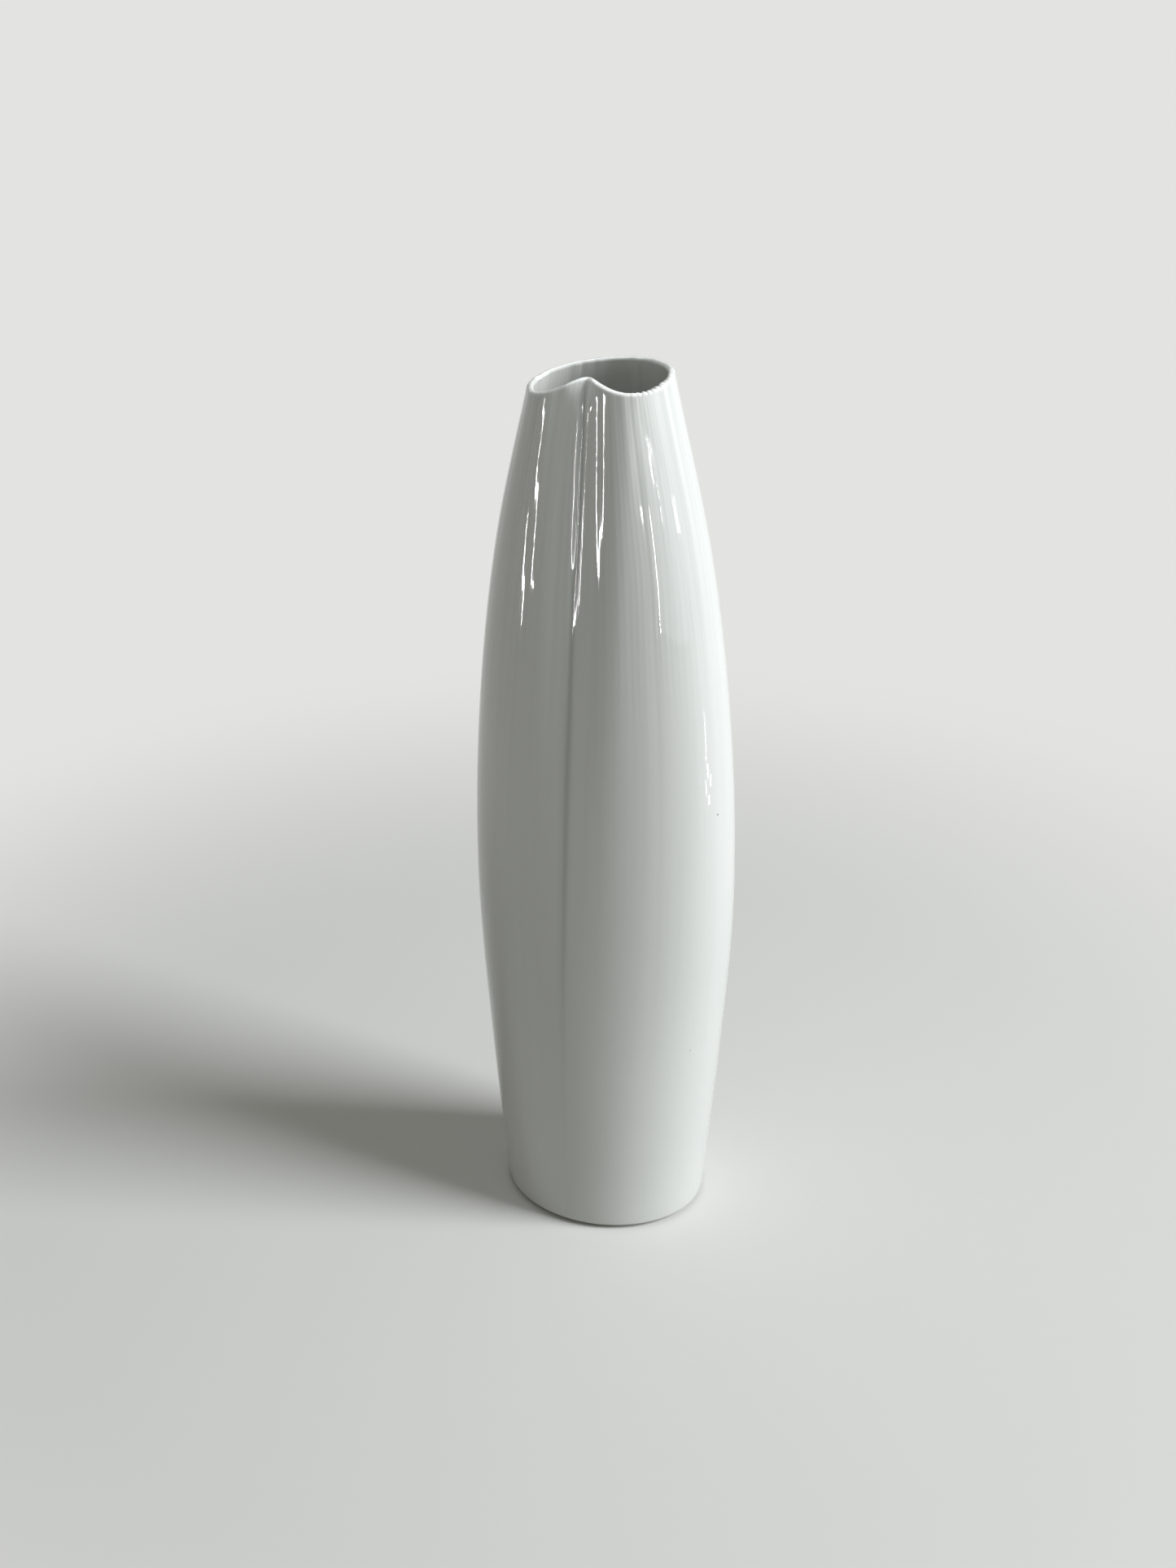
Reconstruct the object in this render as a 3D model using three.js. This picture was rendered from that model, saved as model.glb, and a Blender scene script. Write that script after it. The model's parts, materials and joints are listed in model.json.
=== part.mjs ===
// A tall white porcelain vase. Its oval body swells at mid height, narrows to a small slanting mouth
// and is pinched into one soft fold that runs down the front from the rim.
import * as THREE from 'three';

const { lerp, smoothstep } = THREE.MathUtils;

// Driving sizes in millimetres. The origin is on the ground under the middle of the foot and +Z is up.
// X runs along the broad side, and the fold faces -Y.
const height = 300;

// Outside width (along X) and depth (along Y) of the body, at levels spread evenly from the ground up
const groundWidth = 70.4;
const groundDepth = 61.4;
const lowWidth = 82.6;
const lowDepth = 63.8;
const bellyWidth = 91.4;
const bellyDepth = 60.6;
const chestWidth = 88.2;
const chestDepth = 53.8;
const shoulderWidth = 73.6;
const shoulderDepth = 44.4;
const mouthWidth = 45.4;
const mouthDepth = 34.6;

// Wall, rim and floor
const wallThickness = 2.8;
const rimThickness = 2.3;
const rimTaper = 25;
const floorThickness = 4;
const floorEdgeRadius = 1.4;

// The mouth slants: its right end stands higher than its left, and its back higher than its front
const rimSideLift = 3;
const rimBackLift = 5;

// The fold. Inset is how far the wall is pressed in, and reach is how far that spreads to each side.
// The rim rises to a rounded peak where the fold crosses it.
const foldPeak = 5.5;
const foldPeakRounding = 5;
const foldPeakReach = 17.5;
// A broad valley deepens from its foot up to the rim
const valleyInset = 4.3;
const valleyReach = 18;
const valleyFoot = 40;
// A pleat in the valley's middle starts, is full, fades and ends at these levels
const pleatInset = 0.9;
const pleatReach = 2.4;
const pleatStart = 215;
const pleatFull = 250;
const pleatFade = 276;
const pleatEnd = 296;
// A pinch at the rim narrows and fades on its way down
const pinchInset = 2.2;
const pinchReachAtRim = 5.5;
const pinchReachBelow = 0.8;
const pinchFade = 9;
// A fine crease runs all the way down, and grows with height up to a level
const creaseInsetAtGround = 0.05;
const creaseInsetHigh = 0.25;
const creaseReachAtGround = 1.1;
const creaseReachHigh = 1.6;
const creaseGrowthStart = -40;
const creaseGrowthEnd = 200;

// The bare foot ring under the floor
const footHeight = 1;
const footInset = 3;
const footRingWidth = 5;

// Counts and shares that set how finely the surfaces are divided
const stepsAround = 72;
const outsideRings = 34;
const insideRings = 20;
const roundSteps = 4;
const gatherShare = 0.45;
const ringCrowdingPower = 1.5;
const valleyPower = 2;

// The glazed wall stands on the floor slab at this level
const seatLevel = footHeight + floorThickness;

const levelSizes = [
  [groundWidth, groundDepth],
  [lowWidth, lowDepth],
  [bellyWidth, bellyDepth],
  [chestWidth, chestDepth],
  [shoulderWidth, shoulderDepth],
  [mouthWidth, mouthDepth],
];
const levelSpacing = height / (levelSizes.length - 1);
const bodyCurve = new THREE.CatmullRomCurve3(
  levelSizes.map(([width, depth], i) => new THREE.Vector3(width / 2, depth / 2, i * levelSpacing)),
  false,
  'catmullrom',
);

// Half the body's width (x) and depth (y) at a height
function halfSizesAt(z) {
  return bodyCurve.getPoint(z / height);
}

// Directions around the body, from the fold round by the right. They crowd together at the fold.
function turnAt(step) {
  const turn = (2 * Math.PI * step) / stepsAround;
  return turn - gatherShare * Math.sin(turn);
}

// The outline of a pressed shape across the front: 1 in the crease, 0 beyond its reach. One kind comes to
// an edge in the crease, and the other is round there.
function sharpShare(awayFromCrease, reach) {
  return Math.max(0, 1 - awayFromCrease / reach) ** 2;
}

function roundShare(awayFromCrease, reach) {
  return (1 + Math.cos(Math.PI * Math.min(1, awayFromCrease / reach))) / 2;
}

// How much the rim rises in a direction over its level in front, beside the fold
function rimRiseAt(turn) {
  const lift = rimSideLift * Math.sin(turn) + (rimBackLift * (1 - Math.cos(turn))) / 2;
  if (Math.cos(turn) < 0) return lift;
  const x = (mouthWidth / 2) * Math.sin(turn);
  const awayFromPeak = Math.hypot(x, foldPeakRounding) - foldPeakRounding;
  return foldPeak * sharpShare(awayFromPeak, foldPeakReach) + lift;
}

const allTurns = Array.from({ length: stepsAround }, (unused, step) => turnAt(step));
const highestRise = Math.max(...allTurns.map(rimRiseAt));

// Height of the rim in a direction. Its highest point is at the vase's full height.
function rimHeightAt(turn) {
  return height + rimRiseAt(turn) - highestRise;
}

// How far the fold presses the wall in: its valley, pleat, pinch and crease together
function foldInsetAt(turn, x, z, belowRim) {
  if (Math.cos(turn) < 0) return 0;
  const away = Math.abs(x);
  const upValley = Math.max(0, (z - valleyFoot) / (z + belowRim - valleyFoot));
  const valley = valleyInset * upValley ** valleyPower * roundShare(away, valleyReach);
  const pleatShare = smoothstep(z, pleatStart, pleatFull) * (1 - smoothstep(z, pleatFade, pleatEnd));
  const pleat = pleatInset * pleatShare * roundShare(away, pleatReach);
  const nearRim = Math.exp(-belowRim / pinchFade);
  const pinch = pinchInset * nearRim * sharpShare(away, lerp(pinchReachBelow, pinchReachAtRim, nearRim));
  const grown = smoothstep(z, creaseGrowthStart, creaseGrowthEnd);
  const creaseReach = lerp(creaseReachAtGround, creaseReachHigh, grown);
  const crease = lerp(creaseInsetAtGround, creaseInsetHigh, grown) * sharpShare(away, creaseReach);
  return valley + pleat + pinch + crease;
}

function bodyPoint(turn, z, belowRim) {
  const half = halfSizesAt(z);
  const x = half.x * Math.sin(turn);
  const y = foldInsetAt(turn, x, z, belowRim) - half.y * Math.cos(turn);
  return new THREE.Vector3(x, y, z);
}

// A ring of the outside surface, a share of the way from one level up to the rim's springing line
function outsideRing(share, fromLevel) {
  return allTurns.map((turn) => {
    const springing = rimHeightAt(turn) - rimThickness / 2;
    const z = fromLevel + share * (springing - fromLevel);
    return bodyPoint(turn, z, springing - z);
  });
}

function levelRing(z) {
  return allTurns.map((turn) => bodyPoint(turn, z, rimHeightAt(turn) - z));
}

// Moves a ring's points inwards, level, by a distance that each point's index gives, and up by a rise
function insetRing(ring, distanceAt, rise = 0) {
  return ring.map((point, i) => {
    const before = ring[(i + ring.length - 1) % ring.length];
    const after = ring[(i + 1) % ring.length];
    const inward = new THREE.Vector3(before.y - after.y, after.x - before.x, 0).normalize();
    return point.clone().addScaledVector(inward, distanceAt(i)).setZ(point.z + rise);
  });
}

// Rings crowd towards the rim, where the fold is strongest
function ringShare(i, count) {
  return 1 - (1 - i / count) ** ringCrowdingPower;
}

function wallThicknessAt(belowRim) {
  return wallThickness - (wallThickness - rimThickness) * Math.exp(-belowRim / rimTaper);
}

function meshFrom(points, triangles) {
  const geometry = new THREE.BufferGeometry();
  geometry.setAttribute('position', new THREE.Float32BufferAttribute(points.flatMap((p) => p.toArray()), 3));
  geometry.setIndex(triangles);
  geometry.computeVertexNormals();
  return geometry;
}

function bandBetween(lower, upper, triangles) {
  for (let step = 0; step < stepsAround; step += 1) {
    const next = (step + 1) % stepsAround;
    triangles.push(lower + step, lower + next, upper + next);
    triangles.push(lower + step, upper + next, upper + step);
  }
}

// A closed hollow shell through rings that lead up the outside, over, down the inside and back
function shellThrough(rings) {
  const triangles = [];
  rings.forEach((ring, i) => {
    const next = (i + 1) % rings.length;
    bandBetween(i * stepsAround, next * stepsAround, triangles);
  });
  return meshFrom(rings.flat(), triangles);
}

// A closed solid through rings from bottom to top, with a flat face at each end
function solidThrough(rings) {
  const triangles = [];
  for (let i = 0; i + 1 < rings.length; i += 1) {
    bandBetween(i * stepsAround, (i + 1) * stepsAround, triangles);
  }
  const bottom = new THREE.Vector3(0, 0, rings[0][0].z);
  const top = new THREE.Vector3(0, 0, rings[rings.length - 1][0].z);
  const bottomIndex = rings.length * stepsAround;
  const topIndex = bottomIndex + 1;
  const topStart = (rings.length - 1) * stepsAround;
  for (let step = 0; step < stepsAround; step += 1) {
    const next = (step + 1) % stepsAround;
    triangles.push(bottomIndex, next, step);
    triangles.push(topIndex, topStart + step, topStart + next);
  }
  return meshFrom([...rings.flat(), bottom, top], triangles);
}

// The glazed wall with its fold, rounded rim and mouth. It is open at both ends.
function makeWall() {
  const rings = [];
  for (let i = 0; i <= outsideRings; i += 1) {
    rings.push(outsideRing(ringShare(i, outsideRings), seatLevel));
  }
  const springingRing = rings[outsideRings];
  for (let i = 1; i < roundSteps; i += 1) {
    const angle = (Math.PI * i) / roundSteps;
    const inset = (rimThickness / 2) * (1 - Math.cos(angle));
    rings.push(insetRing(springingRing, () => inset, (rimThickness / 2) * Math.sin(angle)));
  }
  for (let i = insideRings; i >= 0; i -= 1) {
    const ring = outsideRing(ringShare(i, insideRings), seatLevel);
    rings.push(insetRing(ring, (j) => wallThicknessAt(springingRing[j].z - ring[j].z)));
  }
  return shellThrough(rings);
}

// The slab that closes the wall below. Its bottom edge is rounded.
function makeFloor() {
  const rings = [];
  for (let i = 0; i <= roundSteps; i += 1) {
    const angle = (Math.PI / 2 / roundSteps) * i;
    const inset = floorEdgeRadius * (1 - Math.sin(angle));
    const z = footHeight + floorEdgeRadius * (1 - Math.cos(angle));
    rings.push(insetRing(levelRing(z), () => inset));
  }
  rings.push(levelRing(seatLevel));
  return solidThrough(rings);
}

// The bare ring that the vase stands on, set in under the floor
function makeFootRing() {
  const outline = levelRing(footHeight);
  const footprint = (inset, z) => insetRing(outline, () => inset).map((point) => point.setZ(z));
  const innerInset = footInset + footRingWidth;
  return shellThrough([
    footprint(footInset, 0),
    footprint(footInset, footHeight),
    footprint(innerInset, footHeight),
    footprint(innerInset, 0),
  ]);
}

const whiteGlaze = new THREE.MeshStandardMaterial({ color: '#e4e8e6', roughness: 0.08, metalness: 0 });
const barePorcelain = new THREE.MeshStandardMaterial({ color: '#d9d4c8', roughness: 0.8, metalness: 0 });

function namedMesh(name, geometry, material) {
  const mesh = new THREE.Mesh(geometry, material);
  mesh.name = name;
  return mesh;
}

const vase = new THREE.Group();
vase.add(
  namedMesh('vase_wall', makeWall(), whiteGlaze),
  namedMesh('vase_floor', makeFloor(), whiteGlaze),
  namedMesh('foot_ring', makeFootRing(), barePorcelain),
);

export default vase;
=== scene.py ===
import json
import math

import bpy
from mathutils import Matrix, Vector, noise

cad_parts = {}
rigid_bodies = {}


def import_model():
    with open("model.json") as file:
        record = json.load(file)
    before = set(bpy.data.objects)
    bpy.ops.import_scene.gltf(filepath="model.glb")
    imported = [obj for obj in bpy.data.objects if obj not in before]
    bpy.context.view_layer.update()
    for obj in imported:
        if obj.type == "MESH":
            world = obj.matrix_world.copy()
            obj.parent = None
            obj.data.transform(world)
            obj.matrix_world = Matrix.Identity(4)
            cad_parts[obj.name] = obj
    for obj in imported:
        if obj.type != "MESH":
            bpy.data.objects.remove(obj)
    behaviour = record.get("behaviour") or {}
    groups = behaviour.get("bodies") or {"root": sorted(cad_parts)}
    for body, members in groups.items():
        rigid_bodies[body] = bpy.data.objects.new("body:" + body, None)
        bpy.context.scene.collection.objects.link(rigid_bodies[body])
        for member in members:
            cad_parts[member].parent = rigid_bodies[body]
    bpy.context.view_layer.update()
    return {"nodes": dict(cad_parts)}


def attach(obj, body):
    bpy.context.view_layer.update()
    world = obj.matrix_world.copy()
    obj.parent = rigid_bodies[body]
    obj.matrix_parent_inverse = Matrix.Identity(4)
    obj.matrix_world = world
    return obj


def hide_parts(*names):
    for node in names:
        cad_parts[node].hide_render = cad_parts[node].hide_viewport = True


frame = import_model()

mm = 0.001


def smoothStep(low, high, value):
    share = min(1, max(0, (value - low) / (high - low)))
    return share * share * (3 - 2 * share)


def asShare(wave):
    # from -1..1 to 0..1
    return 0.5 + 0.5 * wave


shot = {
    "place": (314.7, -613.1, 513.9),  # mm, to the right of the fold and above the mouth
    "turn": 27.61,                    # degrees to the right of the fold's side
    "lookDown": 27.31,
    "roll": -0.41,
    "lens": 54.1,
    "sensor": 36,
    "clip": (0.01, 50),               # m
}


def makeCamera():
    bpy.ops.object.camera_add()
    camera = bpy.context.object
    camera.name = "camera"
    turned = Matrix.Rotation(math.radians(shot["turn"]), 4, "Z")
    tipped = Matrix.Rotation(math.radians(90 - shot["lookDown"]), 4, "X")
    rolled = Matrix.Rotation(math.radians(shot["roll"]), 4, "Z")
    camera.matrix_world = Matrix.Translation(Vector(shot["place"]) * mm) @ turned @ tipped @ rolled
    camera.data.lens = shot["lens"]
    camera.data.sensor_width = shot["sensor"]
    camera.data.clip_start, camera.data.clip_end = shot["clip"]
    bpy.context.scene.camera = camera


makeCamera()
print("camera set")


# the glazed body: wall, rim, inside and floor thrown in one, in mm and degrees
body = {
    # outside width and depth at levels spread evenly from the ground to the top
    "widths": (70.4, 82.6, 91.4, 88.2, 73.6, 45.4),
    "depths": (61.4, 63.8, 60.6, 53.8, 44.4, 34.6),
    "height": 300,
    "inside": 0.03,         # the glazed skin stays this far inside the frame's solids
    "wall": 2.8,
    "rim": 2.3,             # the wall's thickness at the rim
    "rimTaper": 25,
    "seat": 5,              # level of the inside floor
    "footHeight": 1,
    "edgeRound": 1.4,       # rounding of the glazed bottom edge
    "insideRound": 7,       # rounding where the inside wall meets the inside floor
    # how the mouth slants up to the right and to the back
    "sideLift": 3,
    "backLift": 5,
    # the rim's peak, where the fold crosses it
    "foldPeak": 5.5,
    "peakRounding": 5,
    "peakReach": 17.5,
    # the fold's broad valley deepens from its foot up to the rim
    "valley": 4.3,
    "valleyReach": 18,
    "valleyFoot": 40,
    "valleyPower": 2,
    # a pleat in the valley's middle, which starts, is full, fades and ends at these levels
    "pleat": 0.9,
    "pleatReach": 2.4,
    "pleatLevels": (215, 250, 276, 296),
    # a pinch at the rim, which narrows downwards and is rounder over the lip
    "pinch": 2.2,
    "pinchReach": (0.8, 5.5),  # far below the rim and at it
    "pinchFade": 9,
    "lipRound": 0.8,
    "lipFade": 2,
    # and a narrow crease all the way down
    "crease": (0.05, 0.25),  # how deep it is, low and high
    "creaseReach": (1.1, 1.6),
    "creaseGrowth": (-40, 200),  # it deepens and widens between these levels
    "creaseRound": 0.2,
    # glaze pooled in the crease, with painted shade that darkens the crease where it falls dark
    "poolShadeWide": (1.5, 0.8),  # half its width, low and high
    "poolShadeNarrows": (180, 250),  # it changes from low to high between these levels
    "poolShadeGrows": (20, 190),  # the pool and its painted shade are absent below these levels and full above them
    "poolShadeEnds": (0, 3),     # how far below the rim it is gone, and still full
    # soft flutes left by the maker's scraper
    "flutes": 7.5,
    "fluteDepth": 0.6,
    "fluteFade": 75,
    "fluteGroups": 3,
    "fluteStrong": (0.6, 0.9),  # their strength, and how much it varies from group to group
    # streaks of darker glaze: painted shade that follows the flutes and a finer pattern, where the glaze
    # also lies thicker
    "shadedStreaks": 24,
    "streakLength": 90,
    "streakFade": 110,
    "streakMix": (0.7, 0.6),
    # fine ribs, full from their top level up and gone below their end level
    "ribs": 112,
    "ribDepth": 0.022,
    "ribTop": 225,
    "ribEnd": 170,
    "ribGroups": 11,
    "ribLength": 22,
    "ribStrong": (0.75, 0.7),
    "ribSway": 3,
    "swayGroups": 4,
    "swayLength": 40,
    # small waves of the lip on the right start, are full, fade and end at these angles
    "scallop": 0.4,
    "scallopsPerRib": 0.62,
    "scallopAngles": (35, 60, 95, 125),
    "seeds": {"groups": 5, "flutes": 2, "ribs": 7},
    # the mesh
    "columns": 176,
    "gather": 0.45,         # how much the columns crowd at the fold
    "rowCrowding": 1.3,     # how much the rows crowd at the rim outside and at the bottom inside
    "cuts": 3,
    "wallReach": 0.998,     # what lies nearer to the tube's axis than this is an end cap
    "lipRows": 0.75,        # rows in which the outside's finish gives way to the inside's painted shade
    "smoothAngle": 60,
}
rowsOf = {"edge": 2, "outside": 17, "lip": 2, "inside": 8, "corner": 2}  # before they are cut finer


def hermite(values, share):
    # a smooth curve through evenly spaced values, the same as the solids have
    spans = len(values) - 1
    place = min(max(share, 0), 1) * spans
    i = min(int(place), spans - 1)
    t = place - i
    before = values[i - 1] if i else 2 * values[0] - values[1]
    after = values[i + 2] if i + 2 <= spans else 2 * values[-1] - values[-2]
    a, b = values[i], values[i + 1]
    return 0.5 * (2 * a + (b - before) * t + (2 * before - 5 * a + 4 * b - after) * t * t
                  + (3 * a - before - 3 * b + after) * t ** 3)


def foldShare(turn, away, reach):
    # a shape across the fold: 1 in its middle, where it comes to an edge, and 0 beyond its reach
    if math.cos(turn) < 0:
        return 0
    return max(0, 1 - away / reach) ** 2


def softShare(turn, away, reach):
    # the same, but round in its middle
    if math.cos(turn) < 0:
        return 0
    return asShare(math.cos(math.pi * min(1, away / reach)))


def rimRise(turn):
    x = body["widths"][-1] / 2 * math.sin(turn)
    away = math.hypot(x, body["peakRounding"]) - body["peakRounding"]
    lift = body["sideLift"] * math.sin(turn) + body["backLift"] * (1 - math.cos(turn)) / 2
    return body["foldPeak"] * foldShare(turn, away, body["peakReach"]) + lift


highestRise = max(rimRise(math.radians(step)) for step in range(360))


def rimHeight(turn):
    return body["height"] + rimRise(turn) - highestRise


def valleyInset(turn, x, z, belowRim):
    up = max(0, (z - body["valleyFoot"]) / (z + belowRim - body["valleyFoot"]))
    return body["valley"] * up ** body["valleyPower"] * softShare(turn, abs(x), body["valleyReach"])


def pleatInset(turn, x, z):
    start, full, fade, end = body["pleatLevels"]
    strength = smoothStep(start, full, z) * smoothStep(end, fade, z)
    return body["pleat"] * strength * softShare(turn, abs(x), body["pleatReach"])


def pinchInset(turn, x, belowRim):
    nearRim = math.exp(-belowRim / body["pinchFade"])
    narrow, wide = body["pinchReach"]
    soft = body["lipRound"] * math.exp(-max(0, belowRim) / body["lipFade"])
    away = math.hypot(x, soft) - soft
    return body["pinch"] * nearRim * foldShare(turn, away, narrow + (wide - narrow) * nearRim)


def creaseInset(turn, x, z):
    shallow, deep = body["crease"]
    narrow, wide = body["creaseReach"]
    grown = smoothStep(*body["creaseGrowth"], z)
    away = math.hypot(x, body["creaseRound"]) - body["creaseRound"]
    return (shallow + (deep - shallow) * grown) * foldShare(turn, away, narrow + (wide - narrow) * grown)


def foldInset(turn, x, z, belowRim):
    broad = valleyInset(turn, x, z, belowRim) + pleatInset(turn, x, z)
    return broad + pinchInset(turn, x, belowRim) + creaseInset(turn, x, z)


def patternAt(turn, count, level):
    # a soft uneven pattern round the vase, about -1 to 1, and finer the higher the count
    return noise.noise((math.cos(turn) * count, math.sin(turn) * count, level))


def fluteAt(turn, belowRim):
    # broad soft flutes that fade from the rim down, none of them alike
    middle, spread = body["fluteStrong"]
    strong = middle + spread * patternAt(turn, body["fluteGroups"], body["seeds"]["groups"])
    wave = asShare(patternAt(turn, body["flutes"], body["seeds"]["flutes"]))
    return max(0, strong) * wave * math.exp(-max(0, belowRim) / body["fluteFade"])


def shadedStreakAt(turn, belowRim):
    # painted shade in the flutes and in fine streaks between them, where the glaze also lies thicker
    inFlutes, inFine = body["streakMix"]
    fine = patternAt(turn, body["shadedStreaks"], belowRim / body["streakLength"])
    fade = math.exp(-max(0, belowRim) / body["streakFade"])
    return min(1, max(0, inFlutes * fluteAt(turn, belowRim) + inFine * fine * fade))


def ribInset(turn, z):
    strength = smoothStep(body["ribEnd"], body["ribTop"], z)
    if not strength:
        return 0
    middle, spread = body["ribStrong"]
    level = z / body["ribLength"] + body["seeds"]["ribs"]
    strong = middle + spread * patternAt(turn, body["ribGroups"], level)
    sway = body["ribSway"] * patternAt(turn, body["swayGroups"], z / body["swayLength"])
    wave = asShare(math.cos(body["ribs"] * turn + sway))
    return body["ribDepth"] * strength * max(0, strong) * wave


def scallopDrop(turn):
    # the lip on the right dips in small waves
    start, full, fade, end = (math.radians(angle) for angle in body["scallopAngles"])
    here = smoothStep(start, full, turn) * smoothStep(end, fade, turn)
    return body["scallop"] * here * asShare(math.cos(body["ribs"] * turn * body["scallopsPerRib"]))


def outsidePoint(turn, z, belowRim):
    halfWidth = hermite(body["widths"], z / body["height"]) / 2
    halfDepth = hermite(body["depths"], z / body["height"]) / 2
    x = halfWidth * math.sin(turn)
    y = foldInset(turn, x, z, belowRim) - halfDepth * math.cos(turn)
    inset = body["inside"] + ribInset(turn, z) + body["fluteDepth"] * fluteAt(turn, belowRim)
    pull = 1 - inset / math.hypot(x, y)
    return Vector((x * pull, y * pull, z))


def inwardAt(turn, z, belowRim):
    # level direction into the clay, square to the outside surface
    step = 0.004
    along = outsidePoint(turn + step, z, belowRim) - outsidePoint(turn - step, z, belowRim)
    return Vector((-along.y, along.x, 0)).normalized()


def wallAt(belowRim):
    return body["wall"] - (body["wall"] - body["rim"]) * math.exp(-max(0, belowRim) / body["rimTaper"])


def throwPoint(turn, row, reach):
    # place of a tube vertex from its turn round the tube, its row along it and its share of the radius
    springing = rimHeight(turn) - body["inside"] - body["rim"] / 2 - scallopDrop(turn)
    edge, outside, lip, inside, corner = rowsOf.values()
    low = body["footHeight"]
    if row <= edge:
        angle = math.pi / 2 * row / edge
        z = low + body["edgeRound"] * (1 - math.cos(angle))
        inset = body["edgeRound"] * (1 - math.sin(angle))
        rise = 0
    elif row <= edge + outside:
        share = 1 - (1 - (row - edge) / outside) ** body["rowCrowding"]
        low += body["edgeRound"]
        z = low + share * (springing - low)
        inset = rise = 0
    elif row <= edge + outside + lip:
        angle = math.pi * (row - edge - outside) / lip
        z = springing
        inset = body["rim"] / 2 * (1 - math.cos(angle))
        rise = body["rim"] / 2 * math.sin(angle)
    elif row <= edge + outside + lip + inside:
        share = (1 - (row - edge - outside - lip) / inside) ** body["rowCrowding"]
        bottom = body["seat"] + body["insideRound"]
        z = springing - (1 - share) * (springing - bottom)
        inset = wallAt(springing - z)
        rise = 0
    else:
        angle = math.pi / 2 * (row - edge - outside - lip - inside) / corner
        z = body["seat"] + body["insideRound"] * (1 - math.sin(angle))
        inset = wallAt(springing - z) + body["insideRound"] * (1 - math.cos(angle))
        rise = 0
    point = outsidePoint(turn, z, springing - z)
    if inset:
        point += inwardAt(turn, z, springing - z) * inset
    point.z += rise
    if reach < body["wallReach"]:
        point.x *= reach
        point.y *= reach
    return point * mm


def poolShadeShare(turn, x, z):
    # where the glaze has pooled and the crease's shade is painted: 1 in the crease's middle, fading out
    # at the ground and over the lip
    if math.cos(turn) < 0:
        return 0
    low, high = body["poolShadeWide"]
    wide = low + (high - low) * smoothStep(*body["poolShadeNarrows"], z)
    strength = smoothStep(*body["poolShadeGrows"], z) * smoothStep(*body["poolShadeEnds"], rimHeight(0) - z)
    return strength * math.exp(-(x / wide) ** 2)


def makeBody():
    bpy.ops.mesh.primitive_circle_add(
        vertices=body["columns"], radius=1, fill_type="TRIFAN", location=(0, 0, 0))
    made = bpy.context.object
    made.name = "glazed_body"
    bpy.ops.object.mode_set(mode="EDIT")
    for row in range(sum(rowsOf.values())):  # a plain tube with a closed end below and above
        bpy.ops.mesh.extrude_region_move(TRANSFORM_OT_translate={"value": (0, 0, 1)})
    bpy.ops.mesh.select_all(action="SELECT")
    bpy.ops.mesh.subdivide(number_cuts=body["cuts"])
    bpy.ops.mesh.normals_make_consistent(inside=False)
    bpy.ops.object.mode_set(mode="OBJECT")
    names = ("creasePoolShade", "shadedStreaks", "insideShade")
    marks = [made.data.attributes.new(name, "FLOAT", "POINT") for name in names]
    overLip = rowsOf["edge"] + rowsOf["outside"] + rowsOf["lip"]
    for i, vertex in enumerate(made.data.vertices):
        x, y, row = vertex.co  # the tube is thrown into the vase's shape
        turn = math.atan2(x, -y)
        turn -= body["gather"] * math.sin(turn)
        vertex.co = throwPoint(turn, row, math.hypot(x, y))
        x, y, z = vertex.co / mm
        outdoors = smoothStep(overLip, overLip - body["lipRows"], row)
        # painted shade in the crease, in the flutes near the rim and over the whole inside
        pooledShade = outdoors * poolShadeShare(turn, x, z)
        streakedShade = outdoors * shadedStreakAt(turn, rimHeight(turn) - z)
        for mark, value in zip(marks, (pooledShade, streakedShade, 1 - outdoors)):
            mark.data[i].value = value
    bpy.ops.object.mode_set(mode="EDIT")
    bpy.ops.mesh.select_all(action="SELECT")
    bpy.ops.mesh.normals_make_consistent(inside=False)
    bpy.ops.object.mode_set(mode="OBJECT")
    bpy.ops.object.shade_smooth_by_angle(angle=math.radians(body["smoothAngle"]))
    return made


glazedBody = makeBody()
print("glazed body:", len(glazedBody.data.vertices), "vertices")


def newMaterial(name):
    material = bpy.data.materials.new(name)
    material.use_nodes = True
    nodes = material.node_tree.nodes
    return material, nodes, material.node_tree.links, nodes["Principled BSDF"]


def addNode(nodes, kind, settings=None, **values):
    node = nodes.new(kind)
    for name, value in (settings or {}).items():
        setattr(node, name, value)
    for name, value in values.items():
        node.inputs[name].default_value = value
    return node


def paintOver(nodes, links, under, share, color):
    layer = addNode(nodes, "ShaderNodeMix", {"data_type": "RGBA"})
    layer.inputs["B"].default_value = color
    links.new(share, layer.inputs["Factor"])
    links.new(under.outputs["Result"], layer.inputs["A"])
    return layer


glaze = {
    "color": (0.74, 0.765, 0.755, 1),
    "clouded": (0.705, 0.735, 0.725, 1),
    "cloudScale": 22,
    "cloudDetail": 3,
    # painted shade: the crease is darker than pooled glaze alone would make it
    "pooledShade": (0.5, 0.53, 0.51, 1),
    # painted shade in the flutes and the streaks near the rim
    "streakedShade": (0.6, 0.625, 0.61, 1),
    "inside": (0.57, 0.585, 0.565, 1),  # painted shade: the inside is darkened where shade falls in the vase
    "roughness": 0.02,
    "dull": 0.045,          # roughness of the faint dull patches
    "rippleScale": 130,     # the glaze's own slight waves
    "rippleDetail": 2,
    "rippleHeight": 0.00002,  # m
    "refraction": 1.5,
    # pinholes in the glaze: where they are and how far they reach, in mm
    "specks": (((44, -6.4, 160.2), 0.35), ((-3.6, -27.8, 145.9), 0.2), ((38.7, -13, 72.6), 0.2)),
    "speckColor": (0.3, 0.28, 0.25, 1),
}


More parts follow.
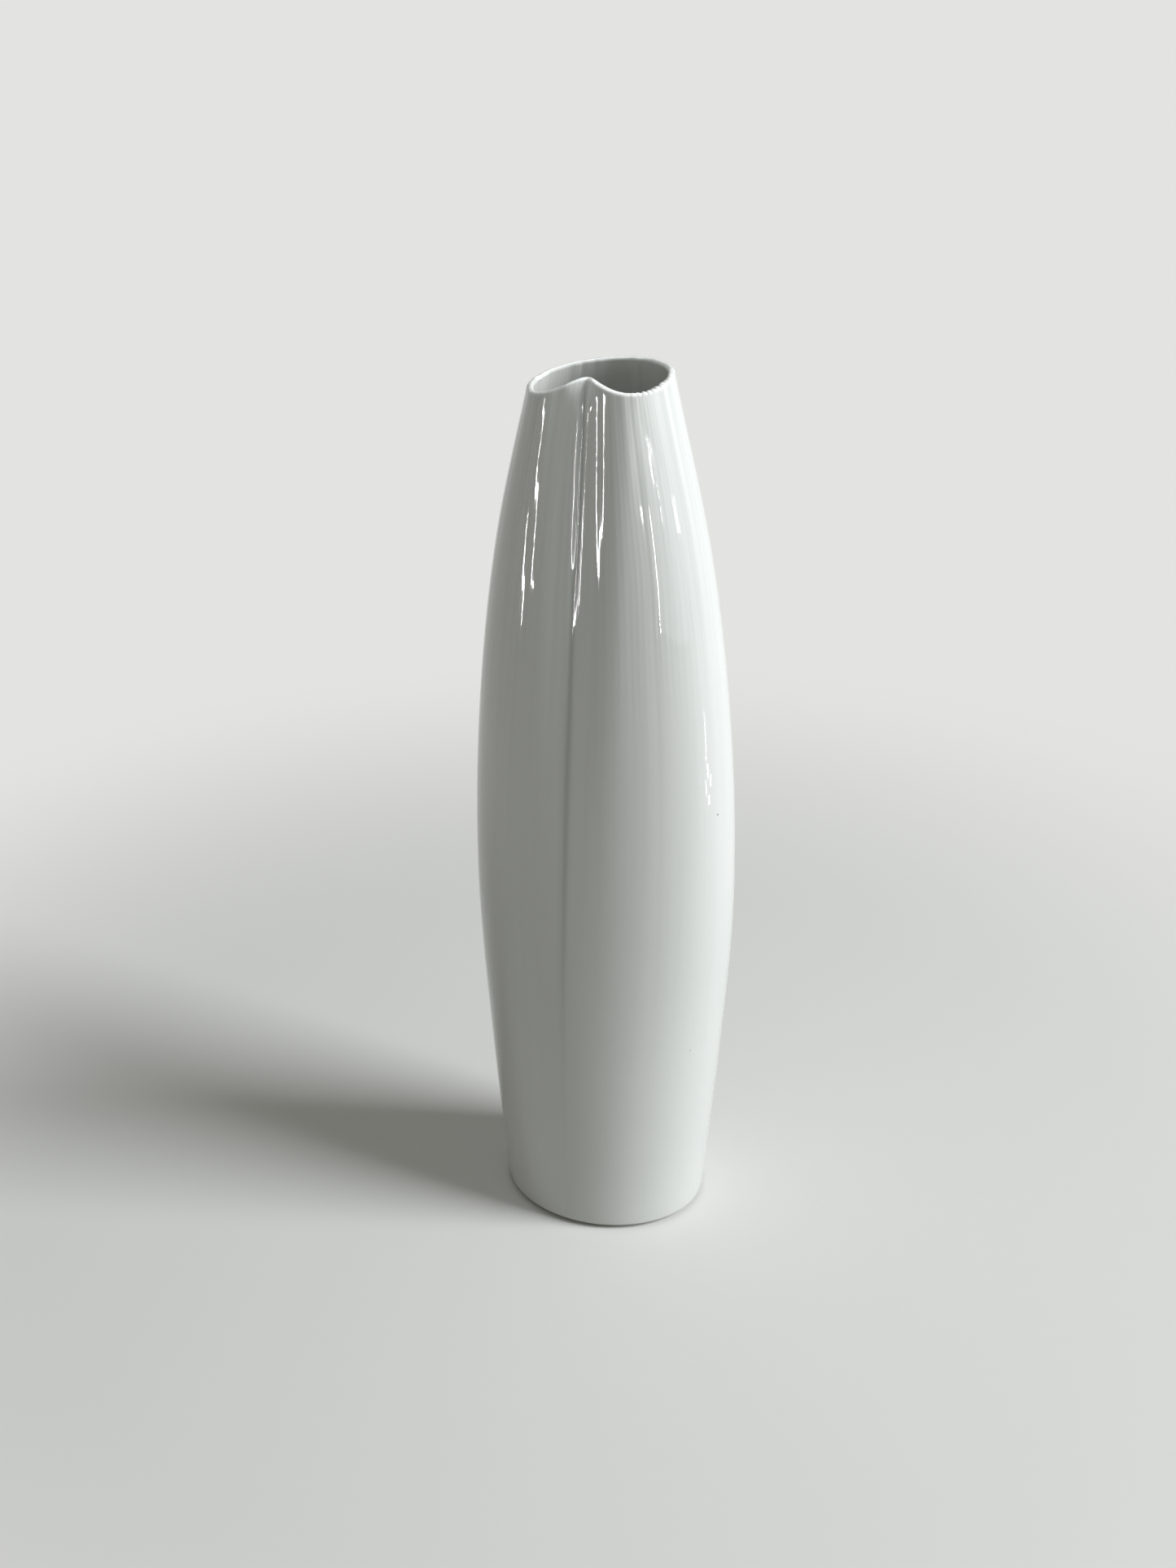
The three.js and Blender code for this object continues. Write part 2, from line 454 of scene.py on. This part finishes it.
def glazeMaterial():
    material, nodes, links, shader = newMaterial("whiteGlaze")
    place = nodes.new("ShaderNodeTexCoord")
    clouds = addNode(nodes, "ShaderNodeTexNoise", Scale=glaze["cloudScale"], Detail=glaze["cloudDetail"])
    painted = addNode(nodes, "ShaderNodeMix", {"data_type": "RGBA"})
    painted.inputs["A"].default_value = glaze["color"]
    painted.inputs["B"].default_value = glaze["clouded"]
    links.new(place.outputs["Object"], clouds.inputs["Vector"])
    links.new(clouds.outputs["Fac"], painted.inputs["Factor"])
    # the layers over the glaze colour are painted shade: in the flutes and streaks, in the crease beyond
    # its pooled glaze, and over the whole inside
    for attribute, color in (("shadedStreaks", "streakedShade"), ("creasePoolShade", "pooledShade"), ("insideShade", "inside")):
        share = addNode(nodes, "ShaderNodeAttribute", {"attribute_name": attribute})
        painted = paintOver(nodes, links, painted, share.outputs["Fac"], glaze[color])
    for point, reach in glaze["specks"]:
        away = addNode(nodes, "ShaderNodeVectorMath", {"operation": "DISTANCE"})
        away.inputs[1].default_value = Vector(point) * mm
        near = addNode(nodes, "ShaderNodeMath", {"operation": "LESS_THAN"})
        near.inputs[1].default_value = reach * mm
        links.new(place.outputs["Object"], away.inputs[0])
        links.new(away.outputs["Value"], near.inputs[0])
        painted = paintOver(nodes, links, painted, near.outputs["Value"], glaze["speckColor"])
    links.new(painted.outputs["Result"], shader.inputs["Base Color"])
    # slight waves and dull patches, which break up what the glaze mirrors
    waves = addNode(nodes, "ShaderNodeTexNoise", Scale=glaze["rippleScale"], Detail=glaze["rippleDetail"])
    bump = addNode(nodes, "ShaderNodeBump", Strength=1, Distance=glaze["rippleHeight"])
    dull = addNode(nodes, "ShaderNodeMapRange")
    dull.inputs["To Min"].default_value = glaze["roughness"]
    dull.inputs["To Max"].default_value = glaze["dull"]
    links.new(place.outputs["Object"], waves.inputs["Vector"])
    links.new(waves.outputs["Fac"], bump.inputs["Height"])
    links.new(bump.outputs["Normal"], shader.inputs["Normal"])
    links.new(clouds.outputs["Fac"], dull.inputs["Value"])
    links.new(dull.outputs["Result"], shader.inputs["Roughness"])
    shader.inputs["IOR"].default_value = glaze["refraction"]
    return material


glazedBody.data.materials.append(glazeMaterial())


# the ground, unglazed foot ring
bareFoot = {
    "dark": (0.5, 0.47, 0.42, 1),
    "light": (0.74, 0.71, 0.65, 1),
    "grainScale": 900,
    "grainHeight": 0.00005,  # m
    "roughness": 0.85,
}


def bareMaterial():
    material, nodes, links, shader = newMaterial("barePorcelain")
    place = nodes.new("ShaderNodeTexCoord")
    grain = addNode(nodes, "ShaderNodeTexNoise", Scale=bareFoot["grainScale"])
    ramp = nodes.new("ShaderNodeValToRGB")
    ramp.color_ramp.elements[0].color = bareFoot["dark"]
    ramp.color_ramp.elements[1].color = bareFoot["light"]
    bump = addNode(nodes, "ShaderNodeBump", Strength=1, Distance=bareFoot["grainHeight"])
    links.new(place.outputs["Object"], grain.inputs["Vector"])
    links.new(grain.outputs["Fac"], ramp.inputs["Fac"])
    links.new(ramp.outputs["Color"], shader.inputs["Base Color"])
    links.new(grain.outputs["Fac"], bump.inputs["Height"])
    links.new(bump.outputs["Normal"], shader.inputs["Normal"])
    shader.inputs["Roughness"].default_value = bareFoot["roughness"]
    return material


footRing = frame["nodes"]["foot_ring"]
footRing.data.materials.clear()
footRing.data.materials.append(bareMaterial())

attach(glazedBody, "root")
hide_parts("vase_wall", "vase_floor")
print("finishes and frame links done")


studio = {
    "floorSize": 8,         # m
    "floorRoughness": 0.6,
    "floorSeen": (0.72, 0.725, 0.71, 1),
    "floorBounce": (0.38, 0.37, 0.34, 1),
    "background": (0.77, 0.77, 0.755, 1),
    "paleFrom": 190,        # mm from the vase where the floor starts to fade into the background
    "paleTo": 460,
    "lampColor": (0.96, 0.98, 1),
    "fill": (0.252, 0.25, 0.232, 1),
    "key": {"azimuth": 100, "elevation": 32, "away": 3000, "size": (1200, 2000), "power": 112},
    "skyPanel": {"height": 1600, "size": (2400, 2400), "power": 80},  # only mirrored
    # a narrow lamp overhead for the lip. The glaze doesn't mirror it.
    "lipLight": {"height": 1000, "cone": 4, "blend": 0.6, "bulb": 10, "power": 7},
    # upright panels that only the glaze mirrors:
    # azimuth, how far away, width, lowest and highest point in mm, and power
    "panels": {
        "leftStrip": (-59, 700, 12, 25, 115, 0.7),
        "frontStrip": (-38, 700, 10, 72, 225, 0.9),
        "rightStrip": (35, 700, 14, 80, 200, 0.4),
        "thinStrip": (53, 700, 7, 216, 280, 0.1),
        "cornerStrip": (80, 700, 40, 224, 262, 0.08),
        "sidePanel": (52, 700, 480, 80, 280, 0.3),
        "lowLine": (89, 300, 5, 88, 120, 0.01),
        "glintA": (91, 300, 9, 76, 84, 0.005),
        "glintB": (94, 300, 7, 68, 76, 0.004),
        "glintC": (88, 300, 6, 64, 74, 0.004),
        "glintD": (92, 300, 10, 56, 62, 0.004),
    },
}


def seenOrLit(nodes, links):
    # 1 where the camera or a mirroring surface looks, 0 where light bounces
    rays = nodes.new("ShaderNodeLightPath")
    either = addNode(nodes, "ShaderNodeMath", {"operation": "MAXIMUM"})
    links.new(rays.outputs["Is Camera Ray"], either.inputs[0])
    links.new(rays.outputs["Is Glossy Ray"], either.inputs[1])
    return either.outputs["Value"]


def makeFloor():
    bpy.ops.mesh.primitive_plane_add(size=studio["floorSize"], location=(0, 0, 0))
    floor = bpy.context.object
    floor.name = "floor"
    material, nodes, links, shader = newMaterial("floorPaint")
    mix = addNode(nodes, "ShaderNodeMix", {"data_type": "RGBA"})
    mix.inputs["A"].default_value = studio["floorBounce"]
    mix.inputs["B"].default_value = studio["floorSeen"]
    seen = seenOrLit(nodes, links)
    links.new(seen, mix.inputs["Factor"])
    links.new(mix.outputs["Result"], shader.inputs["Base Color"])
    shader.inputs["Roughness"].default_value = studio["floorRoughness"]
    shader.inputs["Specular IOR Level"].default_value = 0
    # far from the vase it fades into the background
    place = nodes.new("ShaderNodeTexCoord")
    away = addNode(nodes, "ShaderNodeVectorMath", {"operation": "LENGTH"})
    fade = addNode(nodes, "ShaderNodeMapRange", {"interpolation_type": "SMOOTHSTEP"})
    fade.inputs["From Min"].default_value = studio["paleFrom"] * mm
    fade.inputs["From Max"].default_value = studio["paleTo"] * mm
    seenFade = addNode(nodes, "ShaderNodeMath", {"operation": "MULTIPLY"})
    glow = addNode(nodes, "ShaderNodeEmission", Color=studio["background"])
    blend = nodes.new("ShaderNodeMixShader")
    links.new(place.outputs["Object"], away.inputs[0])
    links.new(away.outputs["Value"], fade.inputs["Value"])
    links.new(fade.outputs["Result"], seenFade.inputs[0])
    links.new(seen, seenFade.inputs[1])
    links.new(seenFade.outputs["Value"], blend.inputs["Fac"])
    links.new(shader.outputs["BSDF"], blend.inputs[1])
    links.new(glow.outputs["Emission"], blend.inputs[2])
    links.new(blend.outputs["Shader"], nodes["Material Output"].inputs["Surface"])
    floor.data.materials.append(material)


def addAreaLight(name, place, aim, size, power):
    bpy.ops.object.light_add(type="AREA", location=place)
    light = bpy.context.object
    light.name = name
    light.rotation_mode = "QUATERNION"
    light.rotation_quaternion = (place - aim).to_track_quat("Z", "Y")
    light.data.shape = "RECTANGLE"
    light.data.size, light.data.size_y = size[0] * mm, size[1] * mm
    light.data.energy = power
    light.data.color = studio["lampColor"]
    light.visible_camera = False
    return light


def addLipLight():
    lamp = studio["lipLight"]
    bpy.ops.object.light_add(type="SPOT", location=(0, 0, lamp["height"] * mm))
    light = bpy.context.object
    light.name = "lipLight"
    light.data.energy = lamp["power"]
    light.data.color = studio["lampColor"]
    light.data.spot_size = math.radians(lamp["cone"])
    light.data.spot_blend = lamp["blend"]
    light.data.shadow_soft_size = lamp["bulb"] * mm
    light.visible_glossy = False


def placeAround(azimuth, elevation, away):
    # azimuth 0 is in front of the fold and 90 to the right
    a, e = math.radians(azimuth), math.radians(elevation)
    return Vector((math.sin(a) * math.cos(e), -math.cos(a) * math.cos(e), math.sin(e))) * away * mm


def makeLights():
    key, sky = studio["key"], studio["skyPanel"]
    middle = Vector((0, 0, body["height"] / 2)) * mm
    place = middle + placeAround(key["azimuth"], key["elevation"], key["away"])
    addAreaLight("key", place, middle, key["size"], key["power"])
    overhead = Vector((0, 0, sky["height"])) * mm
    addAreaLight("skyPanel", overhead, middle, sky["size"], sky["power"]).visible_diffuse = False
    addLipLight()
    for name, (azimuth, away, width, low, high, power) in studio["panels"].items():
        aim = Vector((0, 0, (low + high) / 2)) * mm
        panel = addAreaLight(name, aim + placeAround(azimuth, 0, away), aim, (width, high - low), power)
        panel.visible_diffuse = False


def makeWorld():
    world = bpy.data.worlds.new("studio")
    bpy.context.scene.world = world
    world.use_nodes = True
    nodes, links = world.node_tree.nodes, world.node_tree.links
    mix = addNode(nodes, "ShaderNodeMix", {"data_type": "RGBA"})
    mix.inputs["A"].default_value = studio["fill"]
    mix.inputs["B"].default_value = studio["background"]
    links.new(seenOrLit(nodes, links), mix.inputs["Factor"])
    links.new(mix.outputs["Result"], nodes["Background"].inputs["Color"])


makeFloor()
makeWorld()
makeLights()
bpy.context.scene.view_settings.view_transform = "Standard"
print("studio set")
